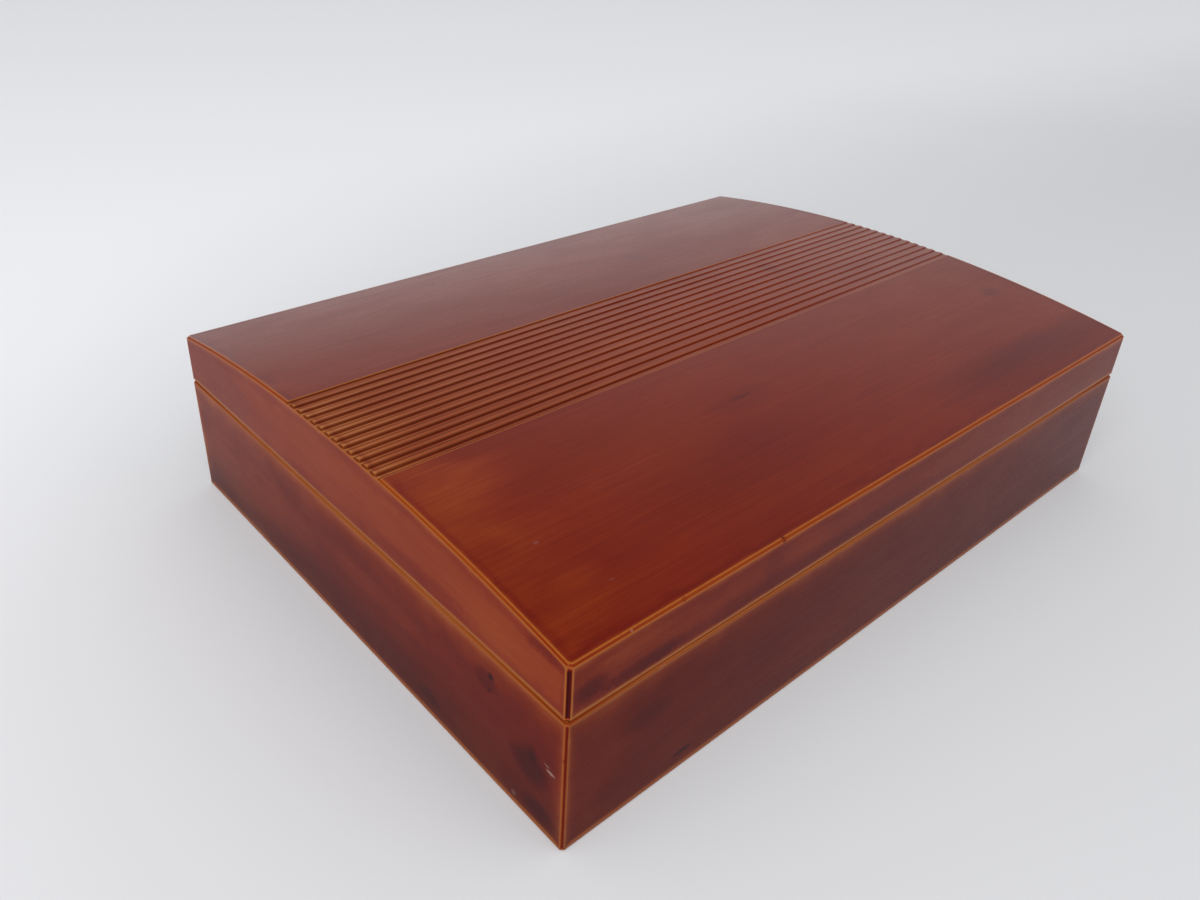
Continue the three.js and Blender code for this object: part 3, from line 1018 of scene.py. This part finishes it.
def makeTopBoard(material):
    tree = boardTree()
    holder = addObject("holder", bpy.data.meshes.new("holder"))
    carver = holder.modifiers.new("board", "NODES")
    carver.node_group = tree
    sizes = {
        "Length": 2 * halfLength, "Width": 2 * halfWidth, "Wall": wall, "Top chamfer": arrisSize["lidTop"],
        "Crown radius": crownRadius, "Crown centre": crownCentre, "Groove count": reeds["count"],
        "Groove pitch": reeds["pitch"], "Groove top width": reeds["topWidth"],
        "Groove floor width": reeds["floorWidth"], "Groove depth": reeds["depth"],
        "Run past": grooveOverrun, "Crown steps": crownSteps, "Finish": material,
    }
    for item in tree.interface.items_tree:
        if item.in_out == "INPUT":
            carver[item.identifier] = sizes[item.name]
    bm = evaluated(holder)
    bpy.data.objects.remove(holder)

    corner, top = arrisSize["lidCorner"], arrisSize["lidTop"]
    sideX, endY = halfLength - corner, halfWidth - corner
    for sx in (-1, 1):
        for sy in (-1, 1):
            onSide = Vector((sx * sideX, sy * halfWidth, crownHeight(halfWidth) - top))
            onEnd = Vector((sx * halfLength, sy * endY, crownHeight(endY) - top))
            outward = Vector((sx, sy, 0))
            clip(bm, onSide, outward)
            slope = (onEnd - onSide).cross(Vector((-sx, -sy, root2)))
            clip(bm, onSide, slope if slope.dot(outward) > 0 else -slope)

    layer = bm.faces.layers.int.new("joint")
    for face in bm.faces:
        face.normal_update()
        face[layer] = int(face.normal.z < undersideTilt)
    innerX, innerY = halfLength - top, halfWidth - top
    midChamfer = [side * (halfLength - top / 2) for side in (-1, 1)]
    sliceAt(bm, 0, steps(-innerX, innerX) + midChamfer + evenly(innerX, **topCuts))
    midChamfer = [side * (halfWidth - top / 2) for side in (-1, 1)]
    sliceAt(bm, 1, steps(-innerY, innerY) + midChamfer)
    sliceAt(bm, 1, [side * (bandHalf + d) for side in (-1, 1) for d in finish])
    sliceAt(bm, 1, [(i - reeds["count"] + 1) * reeds["pitch"] / 2 for i in range(2 * reeds["count"] - 1)])
    finishPiece("board_lid_top_board", bm, lidLines(), "lid", material, reeded=True)


# Stage and light

stageLook = {
    "floor": "#d6d7da",
    "lit": "#f0f1f5",     # painted light: the floor's paler colour to the left and behind
    "litAlong": (-0.45, 0.75, 0),
    "litOutwards": 0.6,
    "litRange": (0.11, 0.71),
    "underLamp": 0.66,    # how pale it is under the lamp, so that it doesn't clip there
    "underLampReach": 1.15,
    "horizon": "#d5d6da",  # the backdrop where it meets the floor's painted light and its plain parts
    "horizonPlain": "#bfc0c2",
    "far": "#e2e4e8",
    "farFrom": (0.02, 0.35),
    "floorRadius": 6.0,
    "floorSides": 96,
    "mottle": {"stretch": (3.0, 3.0, 3.0), "detail": 2, "seed": 2},
    "mottled": 0.1,
    "roughness": 0.9,
    "ior": 1.2,
}
# A range says where it starts and ends along its axis, and how strong the light is at each
lightLook = {
    "skyFrom": (-0.45, -0.89, 0),  # where more of the soft light comes from
    "skyRange": (-0.7, 0.7, 0.5, 1.05),
    "glossAxis": (-0.75, 0, 1),  # the mirrored surroundings grow darker along this
    "glossRange": (-0.15, 0.55, 0.93, 0.25),
    "glossColour": (0.97, 0.985, 1, 1),
    "glossLean": 0.45,  # and brighter towards the back
    "roomFrom": (0.707, 0.707, 0),  # and they are bright on this side only
    "roomRange": (0.12, 0.48, 0.08, 1.0),
    "keyPlace": (-1.14, -0.71, 1.12),
    "keySize": 1.3,
    "keyPower": 14.0,
}


def along(tree, direction, axis):
    return addNode(tree, "ShaderNodeVectorMath", direction, axis, operation="DOT_PRODUCT").outputs["Value"]


def litFrom(tree, place, away):
    across = along(tree, place, stageLook["litAlong"])
    return calc(tree, "MULTIPLY_ADD", away, stageLook["litOutwards"], across)


def makeStage():
    bm = bmesh.new()
    size = {"segments": stageLook["floorSides"], "radius": stageLook["floorRadius"]}
    bmesh.ops.create_circle(bm, cap_ends=True, **size)
    floor = addObject("floor", meshFrom(bm, "floor"))
    material, tree, shader = newMaterial("paper")
    place = addNode(tree, "ShaderNodeTexCoord").outputs["Object"]
    mottle = swing(tree, noise(tree, place, **stageLook["mottle"]), stageLook["mottled"])
    away = addNode(tree, "ShaderNodeVectorMath", place, operation="LENGTH").outputs["Value"]
    # Painted light: the floor is paler to the left and behind
    lit = ramp(tree, calc(tree, "ADD", litFrom(tree, place, away), mottle), *stageLook["litRange"])
    colour = blendColour(tree, lit, fromHex(stageLook["floor"]), fromHex(stageLook["lit"]))
    foot = Vector(lightLook["keyPlace"])
    foot.z = 0
    fromLamp = addNode(tree, "ShaderNodeVectorMath", place, foot, operation="DISTANCE").outputs["Value"]
    shade = ramp(tree, fromLamp, 0, stageLook["underLampReach"], stageLook["underLamp"], 1)
    colour = blendColour(tree, 1.0, colour, shade, "MULTIPLY")
    tree.links.new(colour, shader.inputs["Base Color"])
    shader.inputs["Roughness"].default_value = stageLook["roughness"]
    shader.inputs["IOR"].default_value = stageLook["ior"]
    floor.data.materials.append(material)


def makeLights():
    world = bpy.data.worlds.new("studio")
    bpy.context.scene.world = world
    world.use_nodes = True
    tree = world.node_tree
    tree.nodes.clear()
    rays = tree.nodes.new("ShaderNodeLightPath").outputs
    direction = addNode(tree, "ShaderNodeTexCoord").outputs["Generated"]
    look = lightLook
    soft = ramp(tree, along(tree, direction, look["skyFrom"]), *look["skyRange"])
    gloss = ramp(tree, along(tree, direction, look["glossAxis"]), *look["glossRange"])
    room = ramp(tree, along(tree, direction, look["roomFrom"]), *look["roomRange"])
    gloss = calc(tree, "MULTIPLY", gloss, room)
    lean = look["glossLean"]
    leaning = calc(tree, "MULTIPLY_ADD", along(tree, direction, (0, 1, 0)), lean, 1 - lean / 2)
    gloss = calc(tree, "MULTIPLY", gloss, leaning)
    sky = addNode(tree, "ShaderNodeBackground", (1, 1, 1, 1), soft)
    mirrored = addNode(tree, "ShaderNodeBackground", look["glossColour"], gloss)
    height = ramp(tree, along(tree, direction, (0, 0, 1)), *stageLook["farFrom"])
    rim = addNode(tree, "ShaderNodeVectorMath", direction, operation="SCALE")
    rim.inputs["Scale"].default_value = stageLook["floorRadius"]
    # The backdrop carries on the floor's painted light
    lit = ramp(tree, litFrom(tree, rim.outputs[0], stageLook["floorRadius"]), *stageLook["litRange"])
    backdrop = blendColour(tree, lit, fromHex(stageLook["horizonPlain"]), fromHex(stageLook["horizon"]))
    backdrop = blendColour(tree, height, backdrop, fromHex(stageLook["far"]))
    behind = addNode(tree, "ShaderNodeBackground", backdrop, 1.0)
    first = addNode(tree, "ShaderNodeMixShader", rays["Is Glossy Ray"], sky.outputs[0], mirrored.outputs[0])
    last = addNode(tree, "ShaderNodeMixShader", rays["Is Camera Ray"], first.outputs[0], behind.outputs[0])
    tree.links.new(last.outputs[0], tree.nodes.new("ShaderNodeOutputWorld").inputs[0])
    lamp = bpy.data.lights.new("key", "AREA")
    lamp.shape = "DISK"
    lamp.size = lightLook["keySize"]
    lamp.energy = lightLook["keyPower"]
    key = addObject("key", lamp)
    spot = Vector(lightLook["keyPlace"])
    key.location = spot
    key.rotation_mode = "QUATERNION"
    key.rotation_quaternion = (-spot).to_track_quat("-Z", "Y")
    key.visible_glossy = False


bpy.context.scene.view_settings.view_transform = "Standard"
makeCamera()
makeStage()
makeLights()
print("camera, stage and light made")

lidTopFinish = lacquer("lidTopLacquer", lidTopLook, topMarks, topScuffs)
lidEndFinish = lacquer("lidEndLacquer", lidEndLook, endMarks)
lidSideFinish = lacquer("lidSideLacquer", lidSideLook, sideMarks)
caseEndFinish = lacquer("caseEndLacquer", caseEndLook, caseEndMarks, caseEndScuffs)
caseSideFinish = lacquer("caseSideLacquer", caseSideLook, caseSideMarks, caseSideScuffs)
innerFinish = lacquer("innerLacquer", innerLook)
tongueFinish = bareWood()
print("finishes made")

makeCaseBoards(caseSideFinish, caseEndFinish)
makeBottom(innerFinish)
makeLip(innerFinish)
makeLidSides(lidSideFinish, lidEndFinish)
makeTopBoard(lidTopFinish)
for node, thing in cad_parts.items():
    if "_spline_" in node:
        thing.data.materials.clear()
        thing.data.materials.append(tongueFinish)
print("pieces made")
